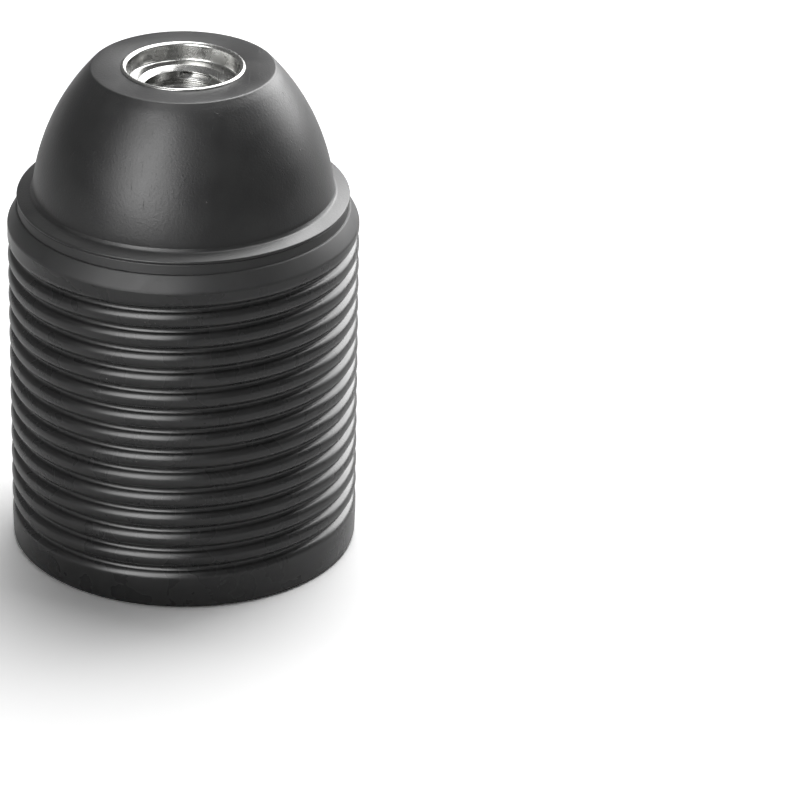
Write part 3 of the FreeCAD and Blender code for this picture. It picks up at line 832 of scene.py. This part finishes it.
# Rivets: nickel-plated brass, one through each terminal and the carrier's floor. The set head is a low dome,
# and the other end is rolled over with a small ring left by the punch.
rivet_y = 5.2
rivet_shank = 1.1
rivet_head = 1.9
rivet_line = rounded_line([
    (0, 25.82, 0), (0.45, 25.82, 0.12), (0.62, 25.62, 0.12), (1.15, 25.62, 0.3), (1.88, 26.1, 0.12),
    (1.88, 26.2, 0.02), (rivet_shank, 26.2, 0.02), (rivet_shank, 31.4, 0.02), (rivet_head, 31.4, 0.02),
    (rivet_head, 31.5, 0.1), (1.05, 31.98, 0.8), (0, 32.0, 0)], 6)
for pole, x in pole_x.items():
    rivet_plating = turned_metal(
        "rivet_plating_" + pole, bright=(0.76, 0.73, 0.66), dull=(0.58, 0.55, 0.48), gloss=0.26, spread=0.14,
        lines=10.0, depth=0.003, axis=(x, rivet_y, 0.0))
    rivet_points, rivet_faces = turned_surface(rivet_line, screw_steps)
    rivet_skin = (rivet_points + np.array([x, rivet_y, 0.0]), rivet_faces)
    name = "rivet_" + pole + "_turned"
    piece(name, welded_mesh(name, [rivet_skin]), rivet_plating, "carrier", "rivet_" + pole)

# Clamp washers: square steel washers with cut corners, which press the wire onto the terminal. Zinc plated,
# with the burr side turned up a little at the hole.
washer_zinc = strip_metal(
    "washer_zinc", clean=(0.68, 0.68, 0.67), tarnished=(0.5, 0.5, 0.49), gloss=0.32, spread=0.14,
    stretch=(0.3, 8.0, 0.3))
clamp_y = -1.6
washer_half = 3.0
washer_cut = 2.2
washer_hole = 1.65
washer_low = 31.4
washer_high = 32.3
cut_corner_angle = math.degrees(math.atan2(washer_cut, washer_half))
washer_corners = np.array([90 * k + sign * cut_corner_angle for k in range(4) for sign in (-1, 1)]) % 360
washer_angles = np.sort(np.concatenate([np.arange(0, 360, 7.5), washer_corners]))


def washer_surface(x):
    """An octagon with a round hole, as rings of (radius, height) round the washer's section.

    An outer ring's radius is r(a) = least of half / max(|cos|, |sin|) and the cut corner's
    (half + cut) / (|cos| + |sin|), less the edge's inset.
    """
    turn = np.radians(washer_angles)
    c, s = np.abs(np.cos(turn)), np.abs(np.sin(turn))
    outer = np.minimum(washer_half / np.maximum(c, s), (washer_half + washer_cut) / (c + s))
    hole_up = [(washer_hole, 31.5), (washer_hole, 32.22), (1.72, washer_high), (2.0, washer_high)]
    insets = [(0.12, washer_high), (0.03, 32.26), (0, 32.16), (0, 31.5), (0.04, 31.43), (0.12, washer_low)]
    hole_down = [(1.75, washer_low), (washer_hole, 31.5)]
    radii = [np.full(len(turn), r) for r, _ in hole_up]
    radii += [outer - r for r, _ in insets]
    radii += [np.full(len(turn), r) for r, _ in hole_down]
    heights = np.array([z for _, z in hole_up + insets + hole_down])[:, None]
    points = round_points(np.stack(radii), washer_angles[None, :], heights) + np.array([x, clamp_y, 0.0])
    return points.reshape(-1, 3), grid_quads(len(radii), len(turn), True)


for pole, x in pole_x.items():
    name = "washer_" + pole + "_plate"
    piece(name, welded_mesh(name, [washer_surface(x)]),
          washer_zinc, "washer_" + pole, "clamp_washer_" + pole)

# Clamp screws: M3 cheese-head screws in zinc-plated steel, with a sawn slot.
clamp_radius = 1.5
for pole, x in pole_x.items():
    clamp_zinc = turned_metal(
        "clamp_zinc_" + pole, bright=(0.68, 0.68, 0.67), dull=(0.5, 0.5, 0.49), gloss=0.28, spread=0.14,
        lines=10.0, depth=0.003, axis=(x, clamp_y, 0.0))
    clamp_skins = screw_shank(
        clamp_radius, 0.5, 26.8, 31.5, [(0, 26.6, 0), (1.25, 26.6, 0.1), (clamp_radius, 26.8, 0)],
        [(clamp_radius, 31.5, 0), (clamp_radius, 32.4, 0), (0, 32.4, 0)])
    clamp_skins.append(slotted_end(2.8, washer_high, 34.2, slot_width=0.8, slot_depth=1.0, edge=0.25))
    clamp_skins = [(p + np.array([x, clamp_y, 0.0]), faces) for p, faces in clamp_skins]
    name = "clamp_" + pole + "_body"
    piece(name, welded_mesh(name, clamp_skins),
          clamp_zinc, "screw_" + pole, "clamp_screw_" + pole)

# Camera: where the photograph was taken from, above and in front of the holder, with a long lens.
image_width = 800.0
view_distance = 580.23
view_elevation = math.radians(26.74)
view_roll = math.radians(1.07)
view_target = np.array([24.98, 0.0, 17.01])
focal_pixels = 5016.5
forward = np.array([0.0, math.cos(view_elevation), -math.sin(view_elevation)])
level_right = np.array([1.0, 0.0, 0.0])
level_up = np.array([0.0, math.sin(view_elevation), math.cos(view_elevation)])
camera_data = bpy.data.cameras.new("camera")
camera_data.sensor_width = 36.0
camera_data.lens = focal_pixels / image_width * camera_data.sensor_width
camera_data.clip_start = 0.01
camera = bpy.data.objects.new("camera", camera_data)
stand = np.eye(4)
stand[:3, 0] = math.cos(view_roll) * level_right + math.sin(view_roll) * level_up
stand[:3, 1] = math.cos(view_roll) * level_up - math.sin(view_roll) * level_right
stand[:3, 2] = -forward
stand[:3, 3] = (view_target - view_distance * forward) * mm
camera.matrix_world = Matrix(stand.tolist())
bpy.context.scene.collection.objects.link(camera)
bpy.context.scene.camera = camera

# Floor: a wide sheet of white paper, a hair under the holder's rim. The camera sees it overexposed, so that
# it runs into the white room, and it still keeps the holder's shadow.
floor_half = 3
floor_z = -2e-5
floor_mesh = bpy.data.meshes.new("floor")
floor_mesh.from_pydata([
    (-floor_half, -floor_half, floor_z), (floor_half, -floor_half, floor_z),
    (floor_half, floor_half, floor_z), (-floor_half, floor_half, floor_z)], [], [(0, 1, 2, 3)])
floor = bpy.data.objects.new("floor", floor_mesh)
bpy.context.scene.collection.objects.link(floor)
paper = bpy.data.materials.new("paper")
paper.use_nodes = True
sheet = paper.node_tree
paper_shader = sheet.nodes["Principled BSDF"]
paper_shader.inputs["Base Color"].default_value = (0.88, 0.88, 0.88, 1)
paper_shader.inputs["Roughness"].default_value = 0.7
paper_shader.inputs["Specular IOR Level"].default_value = 0.2
seen = node(sheet, "LightPath").outputs["Is Camera Ray"]
overexposed = node(sheet, "BsdfDiffuse", {"Color": (1.6, 1.6, 1.6, 1)})
lit = node(sheet, "MixShader", {0: seen, 1: paper_shader.outputs[0], 2: overexposed.outputs[0]})
sheet.links.new(lit.outputs[0], sheet.nodes["Material Output"].inputs["Surface"])
floor_mesh.materials.append(paper)

# Studio: a pale room that the camera sees as white. The gloss sees it darker, with soft panels in front on
# the left, behind on the right and high up behind. A large soft lamp hangs behind the holder on its right,
# and a small one stands in front on its left.
room = bpy.data.worlds.new("room")
bpy.context.scene.world = room
room.use_nodes = True
air = room.node_tree
ray = node(air, "LightPath").outputs
way = node(air, "TexCoord").outputs["Generated"]
rise = node(air, "SeparateXYZ", {0: way}).outputs[2]
flat_way = node(air, "VectorMath", {0: way, 1: (1, 1, 0)}, operation="MULTIPLY").outputs[0]
level = node(air, "VectorMath", {0: flat_way}, operation="NORMALIZE").outputs[0]
panel_edge = 0.2


def smooth_step(value, start, end):
    """A value that goes smoothly from 0 at start to 1 at end."""
    values = {"Value": value, "From Min": start, "From Max": end}
    return node(air, "MapRange", values, interpolation_type="SMOOTHSTEP").outputs[0]


def soft_panel(before, azimuth, half_width, low, high, strength):
    """A soft panel added to what is there: smooth steps of the level direction's cosine and the height."""
    facing = (math.cos(math.radians(azimuth)), math.sin(math.radians(azimuth)), 0)
    near = node(air, "VectorMath", {0: level, 1: facing}, operation="DOT_PRODUCT").outputs["Value"]
    sideways = smooth_step(near, math.cos(math.radians(half_width)), 1.0)
    above, below = smooth_step(rise, low, low + panel_edge), smooth_step(rise, high, high - panel_edge)
    return sum_of(air, product(air, sideways, product(air, above, below)), strength, before)


room_gloss = 0.22
room_light = 0.1
front_panel = soft_panel(room_gloss, azimuth=-119.0, half_width=30.0, low=-0.1, high=0.97, strength=7.4)
back_panel = soft_panel(front_panel, azimuth=50.0, half_width=36.0, low=0.0, high=0.97, strength=8.5)
mirrored = soft_panel(back_panel, azimuth=82.0, half_width=30.0, low=0.66, high=0.99, strength=9.0)
unseen = node(air, "Mix", {0: ray["Is Glossy Ray"], 2: room_light, 3: mirrored}, data_type="FLOAT")
shown = node(air, "Mix", {0: ray["Is Camera Ray"], 2: unseen.outputs[0], 3: 1.0}, data_type="FLOAT")
air.nodes["Background"].inputs["Color"].default_value = (1, 1, 1, 1)
air.links.new(shown.outputs[0], air.nodes["Background"].inputs["Strength"])
bpy.context.scene.view_settings.view_transform = "Standard"


lamp_distance = 0.9
holder_middle = Vector((0, 0, 0.03))


def soft_lamp(name, azimuth, elevation, width, height, power):
    """A rectangular area lamp in a direction from the holder, turned to face it."""
    data = bpy.data.lights.new(name, "AREA")
    data.shape = "RECTANGLE"
    data.size = width
    data.size_y = height
    data.energy = power
    lamp = bpy.data.objects.new(name, data)
    turn, lift = math.radians(azimuth), math.radians(elevation)
    away = Vector((math.cos(lift) * math.cos(turn), math.cos(lift) * math.sin(turn), math.sin(lift)))
    lamp.location = holder_middle + away * lamp_distance
    lamp.rotation_euler = (-away).to_track_quat("-Z", "Y").to_euler()
    bpy.context.scene.collection.objects.link(lamp)


soft_lamp("back_right_lamp", azimuth=62.0, elevation=66.0, width=0.7, height=0.7, power=7.0)
soft_lamp("front_left_lamp", azimuth=-122.0, elevation=34.0, width=0.3, height=0.5, power=0.4)
